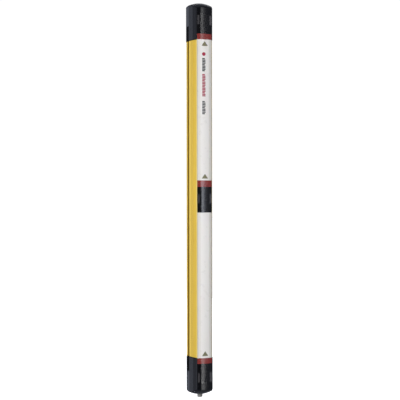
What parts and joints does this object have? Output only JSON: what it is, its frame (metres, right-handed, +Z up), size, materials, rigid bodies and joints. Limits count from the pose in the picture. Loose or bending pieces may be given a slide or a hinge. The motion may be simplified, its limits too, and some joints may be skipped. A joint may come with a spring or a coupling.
{
  "type": "multi-beam safety light barrier",
  "caption": "Slim upright light barrier post: T-slotted extrusion, domed front screen with smoked beam windows, moulded end caps and a round connector at the foot.",
  "frame": {"origin": "lower tip of the connector, on the centre line of the post's section", "axes": "+Z up along the post, the beams look out of the front along -Y, +X to the right of a person who looks along +Y"},
  "size_m": [0.054, 0.0666, 0.8904],
  "materials": {
    "housing_yellow": "satin powder coat on extruded aluminium",
    "cap_black": "fine-grained moulded plastic",
    "window_smoked": "polished smoked plastic",
    "cover_white": "smooth semi-gloss plastic",
    "band_red": "smooth coloured plastic",
    "seal_rubber": "matt",
    "screw_steel": "bright zinc plate",
    "carrier_sheet": "mill finish",
    "holder_grey": "moulded",
    "lens_tinted": "polished, tinted dark",
    "board_green": "coated circuit board",
    "component_dark": "moulded",
    "ribbon_grey": "flat cable",
    "foam_dark": "soft foam",
    "diode_amber": "clear dark resin",
    "connector_nickel": "nickel plate",
    "contact_gold": "gold plate"
  },
  "bodies": {
    "root": {"beam_plugs": "component_dark", "board_plugs": "component_dark", "board_relays": "component_dark", "board_screws": "screw_steel", "board_spacers": "carrier_sheet", "bottom_beam_board": "board_green", "bottom_beam_diode": "diode_amber", "bottom_buffer": "foam_dark", "bottom_cap_gasket": "seal_rubber", "bottom_cap_screws": "screw_steel", "bottom_end_cap": "cap_black", "bottom_lens": "lens_tinted", "bottom_lens_bezel": "component_dark", "bottom_lens_holder": "holder_grey", "bottom_red_band": "band_red", "bottom_window": "window_smoked", "connector_insert": "component_dark", "connector_nut": "connector_nickel", "connector_pins": "contact_gold", "connector_seal": "seal_rubber", "connector_shell": "connector_nickel", "display_board": "board_green", "display_bracket": "holder_grey", "display_unit": "component_dark", "housing_profile": "housing_yellow", "lead_socket": "component_dark", "lower_cover": "cover_white", "lower_ribbon": "ribbon_grey", "main_board": "board_green", "middle_beam_board": "board_green", "middle_beam_diode": "diode_amber", "middle_lens": "lens_tinted", "middle_lens_bezel": "component_dark", "middle_lens_holder": "holder_grey", "middle_red_band": "band_red", "middle_window": "window_smoked", "optics_carrier": "carrier_sheet", "screen_gasket_left": "seal_rubber", "screen_gasket_right": "seal_rubber", "supply_lead": "component_dark", "top_beam_board": "board_green", "top_beam_diode": "diode_amber", "top_buffer": "foam_dark", "top_cap_gasket": "seal_rubber", "top_cap_screws": "screw_steel", "top_end_cap": "cap_black", "top_lens": "lens_tinted", "top_lens_bezel": "component_dark", "top_lens_holder": "holder_grey", "top_red_band": "band_red", "top_window": "window_smoked", "upper_cover": "cover_white", "upper_ribbon": "ribbon_grey"}
  },
  "joints": []
}
